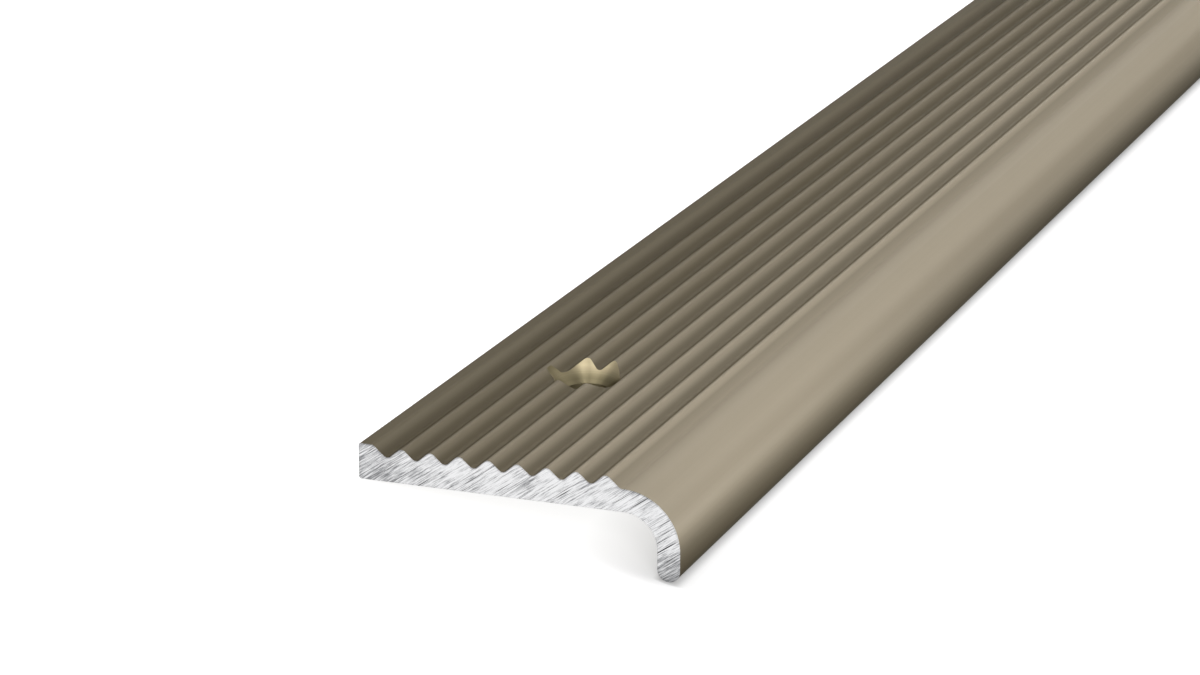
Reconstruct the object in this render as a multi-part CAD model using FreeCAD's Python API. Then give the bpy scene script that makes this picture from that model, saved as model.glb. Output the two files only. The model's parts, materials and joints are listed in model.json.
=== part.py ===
import FreeCAD, Part
import math
import os

# Ribbed stair nosing: one length of extruded aluminium angle with a row of countersunk holes.
# The section is drawn with X running from the back edge to the nose, Y along the length and
# Z up from the underside of the plate. Sizes are in millimetres and angles in degrees.

# Overall size
length = 1000.0
width = 33.0
height = 10.0  # from the foot of the leg to the flat strip on top

# Plate, nose and leg
wall = 2.3  # nose and leg, and what is left of the plate under a sharp groove
nose_radius = 5.7  # outer round between plate and leg
edge_radius = 0.22  # both corners of the back edge

# Ribs
rib_pitch = 3.0
rib_depth = 1.3  # between the sharp crests and the sharp roots, before they are rounded
land_width = 1.5  # flat strip along the back edge
crest_radius = 0.55
root_radius = 0.55

# Screw holes
hole_diameter = 4.5
head_diameter = 9.0  # mouth of the countersink, measured level with the flat strip
head_angle = 90.0
hole_groove = 4  # the row of holes runs along this groove, counted from the back edge
hole_count = 5
end_distance = 30.0  # from each sawn end to the middle of its hole

# What follows from them
plate_thickness = wall + rib_depth
leg_drop = height - plate_thickness
tip_radius = wall / 2
nose_round = min(nose_radius, leg_drop - tip_radius + wall)
first_groove = land_width + rib_pitch / 2
flank_angle = math.atan2(rib_depth, rib_pitch / 2)
groove_reach = root_radius * math.tan(flank_angle / 2)  # from a sharp root to its round's end
rib_count = int((width - nose_round - first_groove - groove_reach) / rib_pitch)
hole_x = first_groove + (hole_groove - 1) * rib_pitch
hole_spacing = (length - 2 * end_distance) / (hole_count - 1)

past_surface = 1.0  # how far a hole's cutter runs out of the plate on both sides
touching = 1e-6  # two arcs closer than this meet without a straight edge between them


def section_corners():
    """The sharp corners of the section in turn, each with its x, its z and its radius."""
    back = [
        (0, 0, edge_radius),
        (0, plate_thickness, edge_radius),
        (land_width, plate_thickness, crest_radius),
    ]
    ribs = []
    for rib in range(rib_count):
        root = first_groove + rib * rib_pitch
        ribs.append((root, wall, root_radius))
        ribs.append((root + rib_pitch / 2, plate_thickness, crest_radius))
    ribs.append((first_groove + rib_count * rib_pitch, wall, root_radius))
    nose_and_leg = [
        (width, wall, nose_round),
        (width, -leg_drop, tip_radius),
        (width - wall, -leg_drop, tip_radius),
        (width - wall, 0, nose_round - wall),
    ]
    return back + ribs + nose_and_leg


def rounded_outline(corners):
    """A closed wire with a tangent arc at every corner and straight edges between the arcs."""
    arcs = []
    for index, (x, z, radius) in enumerate(corners):
        corner = FreeCAD.Vector(x, 0, z)
        before = corners[index - 1]
        after = corners[(index + 1) % len(corners)]
        towards_before = (FreeCAD.Vector(before[0], 0, before[1]) - corner).normalize()
        towards_after = (FreeCAD.Vector(after[0], 0, after[1]) - corner).normalize()
        half_angle = towards_before.getAngle(towards_after) / 2
        reach = radius / math.tan(half_angle)
        inward = (towards_before + towards_after).normalize()
        start = corner + towards_before * reach
        middle = corner + inward * (radius / math.sin(half_angle) - radius)
        end = corner + towards_after * reach
        arcs.append((start, middle, end))

    edges = []
    for index, arc in enumerate(arcs):
        edges.append(Part.Arc(*arc).toShape())
        next_start = arcs[(index + 1) % len(arcs)][0]
        if arc[2].distanceToPoint(next_start) > touching:
            edges.append(Part.LineSegment(arc[2], next_start).toShape())
    return Part.Wire(edges)


def screw_hole(y):
    """The space of one countersunk hole: a straight bore that opens into a cone at the top."""
    bore = hole_diameter / 2
    mouth = head_diameter / 2
    slope = math.tan(math.radians(head_angle / 2))
    cone_foot = plate_thickness - (mouth - bore) / slope
    top = plate_thickness + past_surface
    half_profile = [
        (0, 0, -past_surface),
        (bore, 0, -past_surface),
        (bore, 0, cone_foot),
        (mouth + past_surface * slope, 0, top),
        (0, 0, top),
        (0, 0, -past_surface),
    ]
    face = Part.Face(Part.makePolygon([FreeCAD.Vector(*point) for point in half_profile]))
    hole = face.revolve(FreeCAD.Vector(0, 0, 0), FreeCAD.Vector(0, 0, 1), 360)
    hole.translate(FreeCAD.Vector(hole_x, y, 0))
    return hole


def rest_tilt():
    """The slope of the line that touches the back edge's lower corner and the leg's round tip."""
    run = width - tip_radius - edge_radius
    fall = leg_drop - tip_radius + edge_radius
    return math.atan2(fall, run) + math.asin((tip_radius - edge_radius) / math.hypot(run, fall))


def stair_nosing():
    """The whole piece, lying on a level floor on its back edge and the tip of its leg."""
    section = Part.Face(rounded_outline(section_corners()))
    bar = section.extrude(FreeCAD.Vector(0, length, 0))
    holes = [screw_hole(end_distance + index * hole_spacing) for index in range(hole_count)]
    nosing = bar.cut(holes).Solids[0]

    nosing.rotate(FreeCAD.Vector(0, 0, 0), FreeCAD.Vector(0, 1, 0), -math.degrees(rest_tilt()))
    box = nosing.optimalBoundingBox(False, False)
    nosing.translate(FreeCAD.Vector(-box.Center.x, -box.Center.y, -box.ZMin))
    return nosing


os.makedirs("parts", exist_ok=True)
nosing = stair_nosing()
nosing.exportStep("parts/nosing_profile.step")
print("ribs", rib_count, "holes", hole_count, "spacing", round(hole_spacing, 2))
print("tilt", round(math.degrees(rest_tilt()), 3), "volume", round(nosing.Volume, 1))
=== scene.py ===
import bmesh
import bpy
import json
import math
import numpy as np
from mathutils import Matrix, Vector


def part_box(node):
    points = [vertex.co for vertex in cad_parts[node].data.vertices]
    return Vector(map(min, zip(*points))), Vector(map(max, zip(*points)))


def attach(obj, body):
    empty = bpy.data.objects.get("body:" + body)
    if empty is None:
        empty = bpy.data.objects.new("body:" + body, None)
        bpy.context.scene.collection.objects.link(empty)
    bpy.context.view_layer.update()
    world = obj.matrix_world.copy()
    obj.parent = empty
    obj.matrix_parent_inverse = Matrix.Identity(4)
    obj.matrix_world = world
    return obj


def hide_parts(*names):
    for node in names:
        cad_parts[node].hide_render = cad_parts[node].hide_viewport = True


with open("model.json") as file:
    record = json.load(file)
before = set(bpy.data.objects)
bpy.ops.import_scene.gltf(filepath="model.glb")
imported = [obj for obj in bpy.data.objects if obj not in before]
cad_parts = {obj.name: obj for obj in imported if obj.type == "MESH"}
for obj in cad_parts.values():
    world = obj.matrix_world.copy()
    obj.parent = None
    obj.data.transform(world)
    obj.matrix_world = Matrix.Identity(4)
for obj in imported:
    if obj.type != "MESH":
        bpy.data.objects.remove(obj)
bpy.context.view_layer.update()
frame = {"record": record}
mm = 0.001

# The frame gives the length, the slope at which the nosing rests and the screw holes
nodeLow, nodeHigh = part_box("nosing_profile")
bores = [mount for mount in frame["record"]["mounts"] if mount["kind"] == "bore"]
boreAxis = Vector(bores[0]["axis"])
boreMiddle = Vector(bores[0]["pos_m"]) / mm
boreRadius = bores[0]["dims"]["r_mm"]
boreLength = bores[0]["dims"]["length_mm"]
holePlaces = [bore["pos_m"][1] / mm for bore in bores]
halfLength = (nodeHigh.y - nodeLow.y) / 2 / mm
restTilt = math.atan2(-boreAxis.x, boreAxis.z)
print("frame loaded: nosing of", round(2 * halfLength), "mm with", len(bores), "screw holes")


# Small helpers

def linearColour(hexText):
    # an sRGB hex colour as linear red, green, blue and alpha
    encoded = np.array([int(hexText[k:k + 2], 16) for k in (1, 3, 5)]) / 255
    linear = np.where(encoded <= 0.04045, encoded / 12.92, ((encoded + 0.055) / 1.055) ** 2.4)
    return (*[float(part) for part in linear], 1.0)


def addNode(tree, kind, inputs=None, **settings):
    # a node with its settings; each input gets a value, or a link where a socket is given
    node = tree.nodes.new(kind)
    for name, value in settings.items():
        setattr(node, name, value)
    for name, value in (inputs or {}).items():
        if isinstance(value, bpy.types.NodeSocket):
            tree.links.new(value, node.inputs[name])
        else:
            node.inputs[name].default_value = value
    return node


def newTree(owner):
    # an empty node tree for a material or the world
    owner.use_nodes = True
    owner.node_tree.nodes.clear()
    return owner.node_tree


def unit(vectors):
    # each vector divided by its own length
    return vectors / np.linalg.norm(vectors, axis=-1, keepdims=True)


# Section of the nosing in mm, with x from the back edge to the nose and z up from the plate's
# underside. It is the solid's own section, with enough points that the rounds look round.

section = {
    "width": 33.0,
    "height": 10.0,  # from the foot of the leg to the flat strip on top
    "wall": 2.3,  # nose and leg, and the plate under a sharp groove
    "noseRadius": 5.7,
    "edgeRadius": 0.22,  # both corners of the back edge
    "ribs": 8,
    "ribPitch": 3.0,
    "ribDepth": 1.3,  # between crests and grooves before they are rounded
    "landWidth": 1.5,  # flat strip along the back edge
    "crestRadius": 0.55,
    "rootRadius": 0.55,
    "brokenEdge": 0.08,  # what a file takes off the sharp edge of a sawn end
    "arcPoints": 23,  # on every round
    "stretchPoints": 9,  # along the length, from one hole to the next
    "mergeDistance": 0.0002,
    "sharpAngle": 20.0,  # degrees, past which an edge isn't shaded smooth
}

countersink = {
    "headDiameter": 9.0,  # of the mouth, measured level with the flat strip
    "headAngle": 90.0,  # degrees
    "groove": 4,  # the row of holes runs along this groove
    "rimPoints": 73,  # on half of the rim
    "rimRepeats": 300,  # of the line that closes in on the rim
    "rimSnap": 0.05,  # nearer than this to one of the section's points, a rim point is put on it
    "wallRows": 5,  # down the cone, and again down the bore
}

plateTop = section["wall"] + section["ribDepth"]
legFoot = plateTop - section["height"]
firstGroove = section["landWidth"] + section["ribPitch"] / 2
holeX = firstGroove + (countersink["groove"] - 1) * section["ribPitch"]

# how the section lies on the floor, by the first hole's axis
toFloor = (
    Matrix.Translation(Vector((boreMiddle.x, 0, boreMiddle.z)) * mm)
    @ Matrix.Rotation(-restTilt, 4, "Y")
    @ Matrix.Translation(Vector((-holeX, 0, -boreLength / 2)) * mm)
)


def sharpCorners():
    # the section before its corners are rounded, clockwise from the lower back edge: x, z, radius
    width = section["width"]
    wall = section["wall"]
    tip = wall / 2
    edge = section["edgeRadius"]
    crest = section["crestRadius"]
    root = section["rootRadius"]
    corners = [(0, 0, edge), (0, plateTop, edge), (section["landWidth"], plateTop, crest)]
    for rib in range(section["ribs"]):
        groove = firstGroove + rib * section["ribPitch"]
        corners.append((groove, wall, root))
        corners.append((groove + section["ribPitch"] / 2, plateTop, crest))
    corners.append((firstGroove + section["ribs"] * section["ribPitch"], wall, root))
    corners.append((width, wall, section["noseRadius"]))
    corners.append((width, legFoot, tip))
    corners.append((width - wall, legFoot, tip))
    corners.append((width - wall, 0, section["noseRadius"] - wall))
    return np.array(corners, float)


def roundedOutline(corners, arcPoints):
    # Every corner becomes the arc that touches both its sides. The arc's centre is on the bisector,
    # radius / sin(half the corner's angle) away, and the arc turns about it, from side to side of
    # the bisector, by 90 degrees less that half angle each way. Gives points and outward normals.
    point, radius = corners[:, :2], corners[:, 2:]
    before = unit(np.roll(point, 1, axis=0) - point)
    after = unit(np.roll(point, -1, axis=0) - point)
    inward = unit(before + after)
    across = unit(after - before)
    sinHalf = np.sqrt(1 - np.sum(before * inward, axis=1, keepdims=True) ** 2)
    centre = point + inward * radius / sinHalf
    turn = np.linspace(-1, 1, arcPoints)[:, None] * np.arccos(sinHalf)[:, None]
    away = np.sin(turn) * across[:, None] - np.cos(turn) * inward[:, None]
    outline = centre[:, None] + radius[:, None] * away
    convex = np.sign(before[:, 0] * after[:, 1] - before[:, 1] * after[:, 0])
    return outline.reshape(-1, 2), (away * convex[:, None, None]).reshape(-1, 2)


def sinkRadius(z):
    # the cone's radius at height z: half its mouth, less its slope times the depth below the strip
    slope = math.tan(math.radians(countersink["headAngle"] / 2))
    return countersink["headDiameter"] / 2 - (plateTop - z) * slope


def holedOutline():
    # The outline with more points where a hole crosses it, and the numbers of those points along
    # the cone's rim and along the bore's lower rim, which has one under each of the upper ones.
    arcPoints = section["arcPoints"]
    outline, normal = roundedOutline(sharpCorners(), arcPoints)
    number = np.arange(len(outline), dtype=float)

    # the top has two corners for each rib and two more, and comes after the two of the back edge
    top = slice(2 * arcPoints, (2 * section["ribs"] + 4) * arcPoints)
    topX, topZ = outline[top].T
    topNumber = number[top]

    # at azimuth a the rim is where x = holeX + (cone's radius at the height of the top at x) cos a,
    # and repeating that line closes in on it, as the ribs are less steep than the cone
    azimuth = np.linspace(math.pi, 0, countersink["rimPoints"])
    rimX = np.full_like(azimuth, holeX)
    for _ in range(countersink["rimRepeats"]):
        rimX = holeX + sinkRadius(np.interp(rimX, topX, topZ)) * np.cos(azimuth)
    rim = np.interp(rimX, topX, topNumber)

    # points that almost meet become one, apart from the rim's two ends
    near = np.abs(rim - np.round(rim)) < countersink["rimSnap"]
    near[[0, -1]] = False
    rim = np.unique(np.where(near, np.round(rim), rim))
    rim = np.union1d(rim, number[(number > rim[0]) & (number < rim[-1])])

    # a point of the lower rim is as far round the hole as the one above it, and lies on the flat
    # underside, which is the outline's side from its last point to its first
    upperX = np.interp(rim, number, outline[:, 0])
    upperZ = np.interp(rim, number, outline[:, 1])
    lowerX = holeX + (upperX - holeX) * boreRadius / sinkRadius(upperZ)
    lower = number[-1] + (outline[-1, 0] - lowerX) / (outline[-1, 0] - outline[0, 0])

    places = np.union1d(number, np.union1d(rim, lower))
    wrapped = np.append(number, len(outline))
    closed = np.hstack([outline, normal])
    closed = np.vstack([closed, closed[:1]])
    x, z, normalX, normalZ = [np.interp(places, wrapped, column) for column in closed.T]
    finerNormal = unit(np.stack([normalX, normalZ], -1))
    return x, z, finerNormal, np.searchsorted(places, rim), np.searchsorted(places, lower)


def gridFaces(columns, rows, first, closed=False, flipped=False):
    # the quads between neighbours on a grid of points, numbered column by column from first
    number = np.arange(columns * rows).reshape(columns, rows) + first
    if closed:
        number = np.vstack([number, number[:1]])
    quads = np.stack([number[:-1, :-1], number[1:, :-1], number[1:, 1:], number[:-1, 1:]], -1)
    quads = quads.reshape(-1, 4)
    return quads[:, ::-1] if flipped else quads


def meshFromSurfaces(name, surfaces):
    # One mesh from grids of points in section axes: (points, material, closed, flipped). A grid
    # of a single row is a flat face. Doubles are merged, and edges between materials are sharp.
    points, faces, slots = [], [], []
    first = 0
    for grid, slot, closed, flipped in surfaces:
        columns, rows = grid.shape[:2]
        if rows == 1:
            corners = np.arange(columns)[None] + first
            added = corners[:, ::-1] if flipped else corners
        else:
            added = gridFaces(columns, rows, first, closed, flipped)
        points.append(grid.reshape(-1, 3))
        faces.extend(added.tolist())
        slots.extend([slot] * len(added))
        first += columns * rows
    onFloor = np.array(toFloor)
    points = np.concatenate(points) * mm @ onFloor[:3, :3].T + onFloor[:3, 3]

    mesh = bpy.data.meshes.new(name)
    mesh.from_pydata(points.tolist(), [], faces)
    mesh.polygons.foreach_set("material_index", np.array(slots, np.int32))
    mesh.polygons.foreach_set("use_smooth", np.ones(len(faces), bool))
    merged = bmesh.new()
    merged.from_mesh(mesh)
    bmesh.ops.remove_doubles(merged, verts=merged.verts, dist=section["mergeDistance"] * mm)
    merged.to_mesh(mesh)
    merged.free()

    mesh.set_sharp_from_angle(angle=math.radians(section["sharpAngle"]))
    faceSlots = np.empty(len(mesh.polygons), np.int32)
    faceSides = np.empty(len(mesh.polygons), np.int32)
    sideEdges = np.empty(len(mesh.loops), np.int32)
    sharp = np.empty(len(mesh.edges), bool)
    mesh.polygons.foreach_get("material_index", faceSlots)
    mesh.polygons.foreach_get("loop_total", faceSides)
    mesh.loops.foreach_get("edge_index", sideEdges)
    mesh.edges.foreach_get("use_edge_sharp", sharp)

    # an edge is between two materials where the lowest and the highest beside it differ
    sideSlots = np.repeat(faceSlots, faceSides)
    lowest = np.full(len(sharp), faceSlots.max())
    highest = np.full(len(sharp), faceSlots.min())
    np.minimum.at(lowest, sideEdges, sideSlots)
    np.maximum.at(highest, sideEdges, sideSlots)
    mesh.edges.foreach_set("use_edge_sharp", sharp | (lowest < highest))
    mesh.update()
    piece = bpy.data.objects.new(name, mesh)
    bpy.context.scene.collection.objects.link(piece)
    return piece


def nosingSurfaces():
    # The section carried along y. A point of it that meets the holes goes from the rim of one to
    # the rim of the next, where half a hole's chord at x is the square root of
    # (radius squared - (x - holeX) squared). Its finishes are numbered in the order used below.
    skin, bare, cut = 0, 1, 2
    x, z, normal, upper, lower = holedOutline()
    radius = np.where(z > plateTop / 2, sinkRadius(z), boreRadius)
    chord = np.sqrt(np.maximum(radius ** 2 - (x - holeX) ** 2, 0))
    for rim in (upper, lower):
        chord[rim[[0, -1]]] = 0  # both halves of the rim meet at its ends

    surfaces = []
    faceEnd = halfLength - section["brokenEdge"]
    starts = [np.full_like(x, -faceEnd)] + [y + chord for y in holePlaces]
    stops = [y - chord for y in holePlaces] + [np.full_like(x, faceEnd)]
    for start, stop in zip(starts, stops):
        y = np.linspace(start, stop, section["stretchPoints"], axis=1)
        grid = np.stack(np.broadcast_arrays(x[:, None], y, z[:, None]), -1)
        surfaces.append((grid, skin, True, False))

    # at a sawn end the edge goes in along the section's normal by as much as it goes out in y
    inner = np.stack([x, z], -1) - normal * section["brokenEdge"]
    for side in (-1, 1):
        edge = np.stack([x, np.full_like(x, side * faceEnd), z], -1)
        face = np.stack([inner[:, 0], np.full_like(x, side * halfLength), inner[:, 1]], -1)
        surfaces.append((np.stack([edge, face], 1), bare, True, side < 0))
        surfaces.append((face[:, None], bare, False, side < 0))

    # a hole's wall: straight lines from the cone's rim to the bore, then down to the lower rim
    rim = np.stack([x[upper], chord[upper], z[upper]], -1)
    under = np.stack([x[lower], chord[lower], z[lower]], -1)
    throat = under + (0, 0, boreLength)
    for y in holePlaces:
        for start, stop in ((rim, throat), (throat, under)):
            wall = np.linspace(start, stop, countersink["wallRows"], axis=1)
            for side in (1, -1):
                surfaces.append((wall * (1, side, 1) + (0, y, 0), cut, False, side > 0))
    return surfaces


def placeInSection(tree):
    # a surface's place in the section's own axes, in mm: the mapping undoes toFloor
    place = addNode(tree, "ShaderNodeTexCoord").outputs["Object"]
    return addNode(tree, "ShaderNodeMapping", {
        "Vector": place,
        "Location": toFloor.translation,
        "Rotation": toFloor.to_euler(),
        "Scale": (mm, mm, mm),
    }, vector_type="TEXTURE").outputs[0]


# Anodised aluminium, satin and light bronze. The dyed oxide is clear, so the etched metal's own
# soft reflections come back tinted, and darker at a glancing angle, where they cross more of the
# dye. A faint neutral gloss lies on top, with fine lines from the die along the whole length. The
# colour has light and shade painted into it: paler as a painted highlight on the smooth round of
# the nose and on the crests of the ribs next to it, and darker as painted shade in the grooves,
# towards the back edge and at the foot of the leg.

anodisedSkin = {
    # dark is the colour in full painted shade, pale the colour in full painted light
    "dark": "#443D2B",
    "pale": "#978E7D",
    "backPaleness": 0.31,  # of the crests at the back edge, where 0 is dark and 1 is pale, as painted shade towards the back
    "frontPaleness": 1.0,
    "palestAt": 28.0,  # mm from the back edge to where the crests are as pale as that
    "grooveShare": 0.42,  # how much of the crests' paleness is left down in a groove, the rest being painted shade
    "grooveTo": -0.9,  # mm from the flat strip's level, up to which it is groove
    "crestFrom": -0.2,  # mm, from which it is crest
    "noseFrom": 21.5,  # mm from the back edge, where the nose's painted highlight, an even paleness, begins to set in
    "noseTo": 29.6,  # mm, where it is all there
    "footTo": -6.5,  # mm above the plate's underside, up to which the leg's foot is dark with painted shade
    "legFrom": 1.4,  # mm, from which it is as pale as the nose
    "lineWidth": 0.35,  # mm across a die line, coarser than the real ones so that they show
    "lineLength": 300.0,  # mm
    "lineDepth": 0.0006,  # mm
    "cloudSize": 45.0,  # mm
    "lineShade": 0.975,  # what is left of the colour in the darkest lines of the darkest clouds
    "shadeFrom": 0.1,  # lines times clouds, each from 0 to 1, where they are as dark as that
    "shadeTo": 0.45,  # and where they don't show
    "roughest": 0.595,  # in the dark lines
    "smoothest": 0.565,
    "roughFrom": 0.25,  # the lines' pattern, from 0 to 1, where they are roughest
    "smoothFrom": 0.75,  # and where they are smoothest
    "grainSize": 0.12,  # mm, the pitted satin that etching leaves
    "grainDepth": 0.002,  # mm
    "glanceTint": 0.28,  # share of the light that comes back at a glancing angle
    "gloss": 0.12,
    "glossRoughness": 0.3,
    "glossIor": 1.6,  # of the oxide
}


def anodisedAluminium():
    material = bpy.data.materials.new("anodisedAluminium")
    tree = newTree(material)
    look = anodisedSkin
    place = placeInSection(tree)
    axes = addNode(tree, "ShaderNodeSeparateXYZ", {"Vector": place}).outputs

    # painted light and shade, from dark to pale: darker towards the back edge and down in the
    # grooves, paler up each rib and on the nose, and darker down the leg towards its foot
    across = addNode(tree, "ShaderNodeMapRange", {
        "Value": axes["X"],
        "From Min": 0.0,
        "From Max": look["palestAt"],
        "To Min": look["backPaleness"],
        "To Max": look["frontPaleness"],
    }).outputs[0]
    height = addNode(tree, "ShaderNodeMapRange", {
        "Value": axes["Z"],
        "From Min": plateTop + look["grooveTo"],
        "From Max": plateTop + look["crestFrom"],
        "To Min": look["grooveShare"],
    }, interpolation_type="SMOOTHSTEP").outputs[0]
    ribs = addNode(tree, "ShaderNodeMath", {0: across, 1: height}, operation="MULTIPLY").outputs[0]
    nose = addNode(tree, "ShaderNodeMapRange", {
        "Value": axes["X"], "From Min": look["noseFrom"], "From Max": look["noseTo"],
    }, interpolation_type="SMOOTHSTEP").outputs[0]
    upper = addNode(tree, "ShaderNodeMath", {0: ribs, 1: nose}, operation="MAXIMUM").outputs[0]
    leg = addNode(tree, "ShaderNodeMapRange", {
        "Value": axes["Z"], "From Min": look["footTo"], "From Max": look["legFrom"],
    }, interpolation_type="SMOOTHSTEP").outputs[0]
    paintedLightShare = addNode(tree, "ShaderNodeMath", {0: upper, 1: leg}, operation="MULTIPLY").outputs[0]

    # die lines, clouds and the etch's grain
    along = addNode(tree, "ShaderNodeMapping", {
        "Vector": place, "Scale": (look["lineWidth"], look["lineLength"], look["lineWidth"]),
    }, vector_type="TEXTURE").outputs[0]
    lines = addNode(tree, "ShaderNodeTexNoise", {
        "Vector": along, "Scale": 1.0, "Detail": 3.0,
    }).outputs["Fac"]
    cloud = addNode(tree, "ShaderNodeTexNoise", {
        "Vector": place, "Scale": 1 / look["cloudSize"], "Detail": 2.0,
    }).outputs["Fac"]
    grain = addNode(tree, "ShaderNodeTexNoise", {
        "Vector": place, "Scale": 1 / look["grainSize"], "Detail": 1.0,
    }).outputs["Fac"]
    tone = addNode(tree, "ShaderNodeMath", {0: lines, 1: cloud}, operation="MULTIPLY").outputs[0]
    shade = addNode(tree, "ShaderNodeMapRange", {
        "Value": tone,
        "From Min": look["shadeFrom"],
        "From Max": look["shadeTo"],
        "To Min": look["lineShade"],
    }).outputs[0]

    # on a Mix node for colours, input 0 is the share, 6 and 7 are the colours and output 2 the mix
    colour = addNode(tree, "ShaderNodeMix", {
        0: paintedLightShare, 6: linearColour(look["dark"]), 7: linearColour(look["pale"]),
    }, data_type="RGBA").outputs[2]
    colour = addNode(tree, "ShaderNodeVectorMath", {
        0: colour, "Scale": shade,
    }, operation="SCALE").outputs[0]
    roughness = addNode(tree, "ShaderNodeMapRange", {
        "Value": lines,
        "From Min": look["roughFrom"],
        "From Max": look["smoothFrom"],
        "To Min": look["roughest"],
        "To Max": look["smoothest"],
    }).outputs[0]
    pitted = addNode(tree, "ShaderNodeBump", {
        "Height": grain, "Distance": look["grainDepth"] * mm,
    })
    lined = addNode(tree, "ShaderNodeBump", {
        "Height": lines, "Distance": look["lineDepth"] * mm, "Normal": pitted.outputs[0],
    })
    shader = addNode(tree, "ShaderNodeBsdfPrincipled", {
        "Base Color": colour,
        "Metallic": 1.0,
        "Roughness": roughness,
        "Specular Tint": (look["glanceTint"], look["glanceTint"], look["glanceTint"], 1.0),
        "Coat Weight": look["gloss"],
        "Coat Roughness": look["glossRoughness"],
        "Coat IOR": look["glossIor"],
        "Normal": lined.outputs[0],
    })
    addNode(tree, "ShaderNodeOutputMaterial", {"Surface": shader.outputs[0]})
    return material


# Bare sawn aluminium: almost white, torn by the saw's teeth into short slanting streaks, with a
# few deeper scratches that look dark because they trap the light

sawnMetal = {
    "pale": "#D7D7D8",
    "grey": "#7C7D7F",
    "scratch": "#303133",
    "strokeAngle": 35.0,  # degrees up from the plate's underside
    "strokeWidth": 0.12,  # mm
    "strokeLength": 2.4,  # mm
    "strokeRaggedness": 0.75,  # how much the finest of the streaks show beside the broad ones
    "scratchWidth": 0.13,  # mm
    "scratchLength": 7.0,  # mm
    "patchSize": 1.8,  # mm, where the saw left the streaks fainter
    "patchShare": 0.18,  # how much paler that makes them
    "backDarkFrom": 12.0,  # mm from the back edge, from which the streaks get darker towards it
    "tornTo": -6.0,  # mm, where that would be at its most, past the edge
    "footShadeFrom": -1.8,  # mm above the plate's underside, from which painted shade darkens the streaks down to the foot
    "footShadeTo": -6.0,
    "darkAndShadeStrength": 0.13,  # how much darker the back and the painted shade at the foot make the streaks
    "greyTo": 0.4,  # the streaks' pattern, from 0 to 1, is all grey up to here
    "paleFrom": 0.64,  # and all pale from here
    "scratchFrom": 0.36,  # the scratches' pattern, from 0 to 1, shows from here down
    "scratchTo": 0.29,  # and is darkest from here down
    "greyRoughness": 0.5,
    "paleRoughness": 0.36,
    "depth": 0.02,  # mm
}


def bareSawnAluminium():
    material = bpy.data.materials.new("bareSawnAluminium")
    tree = newTree(material)
    look = sawnMetal
    place = placeInSection(tree)
    slant = (0, -math.radians(look["strokeAngle"]), 0)
    strokePlace = addNode(tree, "ShaderNodeMapping", {
        "Vector": place,
        "Rotation": slant,
        "Scale": (look["strokeLength"], 1, look["strokeWidth"]),
    }, vector_type="TEXTURE").outputs[0]
    scratchPlace = addNode(tree, "ShaderNodeMapping", {
        "Vector": place,
        "Rotation": slant,
        "Scale": (look["scratchLength"], 1, look["scratchWidth"]),
    }, vector_type="TEXTURE").outputs[0]
    strokes = addNode(tree, "ShaderNodeTexNoise", {
        "Vector": strokePlace, "Scale": 1.0, "Detail": 4.0, "Roughness": look["strokeRaggedness"],
    }).outputs["Fac"]
    scratches = addNode(tree, "ShaderNodeTexNoise", {
        "Vector": scratchPlace, "Scale": 1.0, "Detail": 1.0,
    }).outputs["Fac"]
    patches = addNode(tree, "ShaderNodeTexNoise", {
        "Vector": place, "Scale": 1 / look["patchSize"], "Detail": 1.0,
    }).outputs["Fac"]

    # the streaks, paler in the patches, darker towards the back edge, and darker towards the leg's
    # foot as painted shade
    axes = addNode(tree, "ShaderNodeSeparateXYZ", {"Vector": place}).outputs
    torn = addNode(tree, "ShaderNodeMapRange", {
        "Value": axes["X"], "From Min": look["backDarkFrom"], "From Max": look["tornTo"],
    }, interpolation_type="SMOOTHSTEP").outputs[0]
    paintedFootShade = addNode(tree, "ShaderNodeMapRange", {
        "Value": axes["Z"], "From Min": look["footShadeFrom"], "From Max": look["footShadeTo"],
    }, interpolation_type="SMOOTHSTEP").outputs[0]
    backDarkAndFootShade = addNode(tree, "ShaderNodeMath", {0: torn, 1: paintedFootShade}, operation="ADD").outputs[0]
    tone = addNode(tree, "ShaderNodeMath", {
        0: patches, 1: look["patchShare"], 2: strokes,
    }, operation="MULTIPLY_ADD").outputs[0]
    tone = addNode(tree, "ShaderNodeMath", {
        0: backDarkAndFootShade, 1: -look["darkAndShadeStrength"], 2: tone,
    }, operation="MULTIPLY_ADD").outputs[0]
    streak = addNode(tree, "ShaderNodeMapRange", {
        "Value": tone, "From Min": look["greyTo"], "From Max": look["paleFrom"],
    }, interpolation_type="SMOOTHSTEP").outputs[0]
    deep = addNode(tree, "ShaderNodeMapRange", {
        "Value": scratches, "From Min": look["scratchFrom"], "From Max": look["scratchTo"],
    }, interpolation_type="SMOOTHSTEP").outputs[0]

    colour = addNode(tree, "ShaderNodeMix", {
        0: streak, 6: linearColour(look["grey"]), 7: linearColour(look["pale"]),
    }, data_type="RGBA").outputs[2]
    colour = addNode(tree, "ShaderNodeMix", {
        0: deep, 6: colour, 7: linearColour(look["scratch"]),
    }, data_type="RGBA").outputs[2]
    roughness = addNode(tree, "ShaderNodeMapRange", {
        "Value": streak, "To Min": look["greyRoughness"], "To Max": look["paleRoughness"],
    }).outputs[0]
    height = addNode(tree, "ShaderNodeMath", {0: strokes, 1: deep}, operation="SUBTRACT").outputs[0]
    scored = addNode(tree, "ShaderNodeBump", {"Height": height, "Distance": look["depth"] * mm})
    shader = addNode(tree, "ShaderNodeBsdfPrincipled", {
        "Base Color": colour, "Metallic": 1.0, "Roughness": roughness, "Normal": scored.outputs[0],
    })
    addNode(tree, "ShaderNodeOutputMaterial", {"Surface": shader.outputs[0]})
    return material


# Countersinks: aluminium turned after the etch and then anodised with the rest. It is brighter and
# smoother than the skin, with the cutter's rings round the hole, and has painted shade that makes
# it darker down in the cone and on the side towards the back edge. The dye darkens it at a glance
# too, but less.

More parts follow.
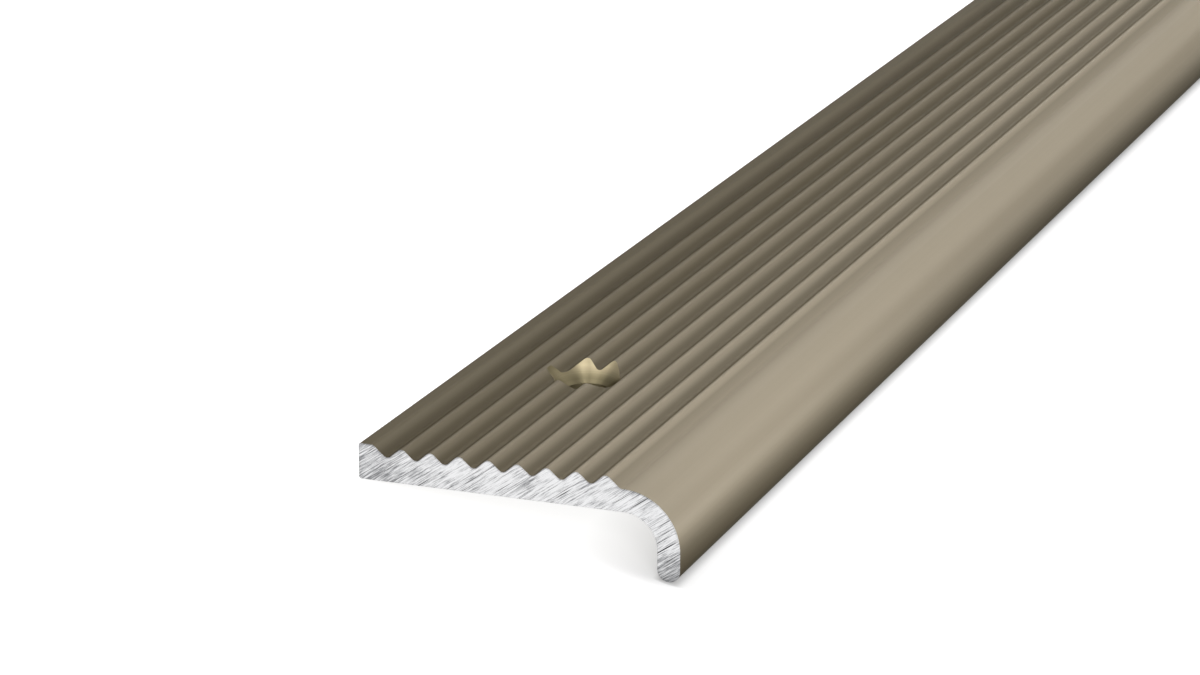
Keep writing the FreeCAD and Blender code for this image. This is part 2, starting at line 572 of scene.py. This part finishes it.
turnedWall = {
    "mouth": "#A89C7E",
    "throat": "#6F674F",
    "throatTo": 1.7,  # mm above the plate's underside, up to which it is dark with painted shade
    "mouthFrom": 2.9,  # mm, from which it is bright
    "backTo": 7.6,  # mm from the back edge, up to which it is dark with painted shade
    "frontFrom": 10.6,  # mm, from which it is bright
    "ringWidth": 0.09,  # mm
    "ringLength": 20.0,  # mm, longer than the hole is wide, so that a ring goes right round it
    "ringDepth": 0.0008,  # mm
    "ringShade": 0.92,  # what is left of the colour in the darkest rings
    "shadeFrom": 0.3,  # the rings' pattern, from 0 to 1, where they are as dark as that
    "shadeTo": 0.6,  # and where they don't show
    "roughest": 0.36,  # in the dark rings
    "smoothest": 0.28,
    "glanceTint": 0.4,  # share of the light that comes back at a glancing angle
    "gloss": 0.05,
    "glossRoughness": 0.2,
    "glossIor": 1.6,  # of the oxide
}


def turnedAnodisedAluminium():
    material = bpy.data.materials.new("turnedAnodisedAluminium")
    tree = newTree(material)
    look = turnedWall
    place = placeInSection(tree)
    around = addNode(tree, "ShaderNodeMapping", {
        "Vector": place, "Scale": (look["ringLength"], look["ringLength"], look["ringWidth"]),
    }, vector_type="TEXTURE").outputs[0]
    rings = addNode(tree, "ShaderNodeTexNoise", {
        "Vector": around, "Scale": 1.0, "Detail": 2.0,
    }).outputs["Fac"]
    axes = addNode(tree, "ShaderNodeSeparateXYZ", {"Vector": place}).outputs
    # painted shade: darker down in the cone and on the side towards the back edge
    upper = addNode(tree, "ShaderNodeMapRange", {
        "Value": axes["Z"], "From Min": look["throatTo"], "From Max": look["mouthFrom"],
    }, interpolation_type="SMOOTHSTEP").outputs[0]
    front = addNode(tree, "ShaderNodeMapRange", {
        "Value": axes["X"], "From Min": look["backTo"], "From Max": look["frontFrom"],
    }, interpolation_type="SMOOTHSTEP").outputs[0]
    paintedLightShare = addNode(tree, "ShaderNodeMath", {0: upper, 1: front}, operation="MULTIPLY").outputs[0]
    colour = addNode(tree, "ShaderNodeMix", {
        0: paintedLightShare, 6: linearColour(look["throat"]), 7: linearColour(look["mouth"]),
    }, data_type="RGBA").outputs[2]
    shade = addNode(tree, "ShaderNodeMapRange", {
        "Value": rings,
        "From Min": look["shadeFrom"],
        "From Max": look["shadeTo"],
        "To Min": look["ringShade"],
    }).outputs[0]
    colour = addNode(tree, "ShaderNodeVectorMath", {
        0: colour, "Scale": shade,
    }, operation="SCALE").outputs[0]
    roughness = addNode(tree, "ShaderNodeMapRange", {
        "Value": rings, "To Min": look["roughest"], "To Max": look["smoothest"],
    }).outputs[0]
    turned = addNode(tree, "ShaderNodeBump", {"Height": rings, "Distance": look["ringDepth"] * mm})
    shader = addNode(tree, "ShaderNodeBsdfPrincipled", {
        "Base Color": colour,
        "Metallic": 1.0,
        "Roughness": roughness,
        "Specular Tint": (look["glanceTint"], look["glanceTint"], look["glanceTint"], 1.0),
        "Coat Weight": look["gloss"],
        "Coat Roughness": look["glossRoughness"],
        "Coat IOR": look["glossIor"],
        "Normal": turned.outputs[0],
    })
    addNode(tree, "ShaderNodeOutputMaterial", {"Surface": shader.outputs[0]})
    return material


# The nosing itself, with its finishes in the order in which its surfaces number them

nosing = meshFromSurfaces("stairNosing", nosingSurfaces())
for finish in (anodisedAluminium(), bareSawnAluminium(), turnedAnodisedAluminium()):
    nosing.data.materials.append(finish)
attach(nosing, "root")
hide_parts("nosing_profile")
print("nosing made,", len(nosing.data.polygons), "faces,", len(nosing.data.materials), "finishes")


# Studio: a pale floor that runs out to a white surround, and soft lamps that the eye doesn't see

studio = {
    "floorSize": 120.0,  # m
    "floorColour": "#B4B4B4",
    "floorLift": 0.89,  # added to what is seen of the floor, so that it meets the surround in white
    "footLift": 0.5,  # what is added right at the leg's foot, less than elsewhere, which paints shadow there on top of the real one
    "footReach": 11.0,  # mm to either side of it, where the full lift is added
    "frontReach": 4.0,  # mm, the same in front of the ends
    "contactLift": 0.5,  # how much of that is left close to the foot, a painted contact shadow
    "contactFrom": 0.6,  # mm from the foot's line, where the rest begins to come back
    "contactTo": 1.8,  # mm, where it is all back
    "horizon": 1.0,  # brightness of the surround low down, where 1 is white
    "overhead": 0.5,  # and above, where it lights the top of the ribs
    "whiteTo": 6.0,  # degrees above the horizon
    "greyFrom": 9.5,  # degrees
}

# Each lamp has its middle and what it points at in mm, its width along the floor and its height in
# mm, and its brightness, where 1 is a white card in full light. The long strips run from the
# nosing's near end to past the far one.

lamps = {
    "noseLamp": {  # strip close over the smooth nose
        "place": (20, 500, 31), "aim": (12, 500, 6), "size": (2000, 24), "brightness": 1.1,
    },
    "edgeLamp": {  # strip over the nose's edge
        "place": (45, 500, 45), "aim": (12, 500, 4), "size": (2000, 24), "brightness": 0.6,
    },
    "overLamp": {  # narrow strip over the ribs
        "place": (-5, 500, 45), "aim": (0, 500, 5), "size": (2000, 6), "brightness": 3.7,
    },
    "holeLamp": {  # small card for the first hole
        "place": (-24, -484, 45), "aim": (-5, -484, 5), "size": (40, 18), "brightness": 1.8,
    },
    "legLamp": {  # small card for the nose's edge at the near end
        "place": (100, -435, 26), "aim": (17, -500, 4), "size": (80, 40), "brightness": 2.5,
    },
    "ribLamp": {  # strip that lights the ribs from the back
        "place": (-100, 500, 120), "aim": (10, 500, 5), "size": (2000, 60), "brightness": 1.75,
    },
    "farLamp": {  # softbox behind the far end
        "place": (-300, 1500, 450), "aim": (0, -150, 0), "size": (700, 500), "brightness": 0.6,
    },
    "sideLamp": {  # softbox on the leg's side
        "place": (1200, 1100, 330), "aim": (0, -450, 0), "size": (800, 500), "brightness": 4.4,
    },
    "frontLamp": {  # softbox before the sawn end
        "place": (250, -1000, 260), "aim": (0, -500, 0), "size": (300, 300), "brightness": 6.0,
    },
}


def seenOnly(tree):
    # 1 for the eye, a reflection and glass, and 0 for the light that falls on other things
    path = addNode(tree, "ShaderNodeLightPath").outputs
    seen = path["Is Camera Ray"]
    for kind in ("Is Glossy Ray", "Is Transmission Ray"):
        seen = addNode(tree, "ShaderNodeMath", {
            0: seen, 1: path[kind],
        }, operation="MAXIMUM").outputs[0]
    return seen


def mattStudioPaper():
    # Matt paper has no gloss, so it shows only the soft shadow. What is seen of it is lifted
    # towards white, the more so the further it is from the line on which the leg stands, so that a
    # painted shadow lies along the foot on top of the real one: the distance in x and the distance
    # past the end in y, which counts for more, are taken together as the two sides of a right
    # angle.
    material = bpy.data.materials.new("mattStudioPaper")
    tree = newTree(material)
    foot = toFloor @ (Vector((section["width"] - section["wall"] / 2, 0, legFoot)) * mm)
    place = addNode(tree, "ShaderNodeTexCoord").outputs["Object"]
    beside = addNode(tree, "ShaderNodeVectorMath", {
        0: place, 1: (foot.x, 0, 0),
    }, operation="SUBTRACT").outputs[0]
    beside = addNode(tree, "ShaderNodeVectorMath", {0: beside}, operation="ABSOLUTE").outputs[0]
    squeeze = studio["footReach"] / studio["frontReach"]
    beside = addNode(tree, "ShaderNodeVectorMath", {
        0: beside, 1: (1, squeeze, 1), 2: (0, -squeeze * halfLength * mm, 0),
    }, operation="MULTIPLY_ADD").outputs[0]
    beside = addNode(tree, "ShaderNodeVectorMath", {
        0: beside, 1: (0, 0, 0),
    }, operation="MAXIMUM").outputs[0]
    away = addNode(tree, "ShaderNodeVectorMath", {0: beside}, operation="LENGTH").outputs["Value"]
    graded = addNode(tree, "ShaderNodeMapRange", {
        "Value": away,
        "From Min": 0.0,
        "From Max": studio["footReach"] * mm,
        "To Min": studio["footLift"],
        "To Max": studio["floorLift"],
    }).outputs[0]
    # painted contact shadow: the lift drops lowest right beside the foot
    paintedContactShadow = addNode(tree, "ShaderNodeMapRange", {
        "Value": away,
        "From Min": studio["contactFrom"] * mm,
        "From Max": studio["contactTo"] * mm,
        "To Min": studio["contactLift"],
    }, interpolation_type="SMOOTHSTEP").outputs[0]
    graded = addNode(tree, "ShaderNodeMath", {
        0: graded, 1: paintedContactShadow,
    }, operation="MULTIPLY").outputs[0]
    lift = addNode(tree, "ShaderNodeMath", {
        0: seenOnly(tree), 1: graded,
    }, operation="MULTIPLY").outputs[0]
    matt = addNode(tree, "ShaderNodeBsdfDiffuse", {"Color": linearColour(studio["floorColour"])})
    glow = addNode(tree, "ShaderNodeEmission", {"Strength": lift})
    both = addNode(tree, "ShaderNodeAddShader", {0: matt.outputs[0], 1: glow.outputs[0]})
    addNode(tree, "ShaderNodeOutputMaterial", {"Surface": both.outputs[0]})
    return material


def makeFloor():
    # a square on the ground
    half = studio["floorSize"] / 2
    corners = [(-half, -half, 0), (half, -half, 0), (half, half, 0), (-half, half, 0)]
    mesh = bpy.data.meshes.new("floor")
    mesh.from_pydata(corners, [], [(0, 1, 2, 3)])
    mesh.materials.append(mattStudioPaper())
    floor = bpy.data.objects.new("floor", mesh)
    bpy.context.scene.collection.objects.link(floor)


def makeSurround():
    # white near the horizon and greyer above, by the sine of the height over it
    world = bpy.data.worlds.new("surround")
    tree = newTree(world)
    direction = addNode(tree, "ShaderNodeTexCoord").outputs["Generated"]
    height = addNode(tree, "ShaderNodeSeparateXYZ", {"Vector": direction}).outputs["Z"]
    strength = addNode(tree, "ShaderNodeMapRange", {
        "Value": height,
        "From Min": math.sin(math.radians(studio["whiteTo"])),
        "From Max": math.sin(math.radians(studio["greyFrom"])),
        "To Min": studio["horizon"],
        "To Max": studio["overhead"],
    }, interpolation_type="SMOOTHSTEP").outputs[0]
    shader = addNode(tree, "ShaderNodeBackground", {"Color": (1, 1, 1, 1), "Strength": strength})
    addNode(tree, "ShaderNodeOutputWorld", {"Surface": shader.outputs[0]})
    bpy.context.scene.world = world


def makeLamp(name, lamp):
    # a card that shines evenly: its energy is its brightness times pi times its area
    width, height = np.array(lamp["size"]) * mm
    light = bpy.data.lights.new(name, "AREA")
    light.shape = "RECTANGLE"
    light.size = width
    light.size_y = height
    light.energy = lamp["brightness"] * math.pi * width * height
    holder = bpy.data.objects.new(name, light)
    holder.visible_camera = False
    place = Vector(lamp["place"]) * mm
    aim = Vector(lamp["aim"]) * mm
    turn = (place - aim).to_track_quat("Z", "Y").to_matrix().to_4x4()
    holder.matrix_world = Matrix.Translation(place) @ turn
    bpy.context.scene.collection.objects.link(holder)


makeFloor()
makeSurround()
for lampName, settings in lamps.items():
    makeLamp(lampName, settings)
print("studio made,", len(lamps), "lamps")


# Camera: the photograph's view, given in the section's own axes from the plate's lower back corner
# at the near end, and carried to the floor with the section

view = {
    "place": (152.97, -332.28, 126.54),  # mm
    "azimuth": 21.07,  # degrees; 0 looks along the nosing
    "elevation": 17.10,  # degrees
    "lens": 120.0,  # mm
}
camera = bpy.data.objects.new("camera", bpy.data.cameras.new("camera"))
camera.data.lens = view["lens"]
camera.matrix_world = (
    toFloor
    @ Matrix.Translation((Vector(view["place"]) - Vector((0, halfLength, 0))) * mm)
    @ Matrix.Rotation(math.radians(view["azimuth"]), 4, "Z")
    @ Matrix.Rotation(math.radians(90 - view["elevation"]), 4, "X")
)
bpy.context.scene.collection.objects.link(camera)
bpy.context.scene.camera = camera
bpy.context.scene.view_settings.view_transform = "Standard"
print("camera placed")
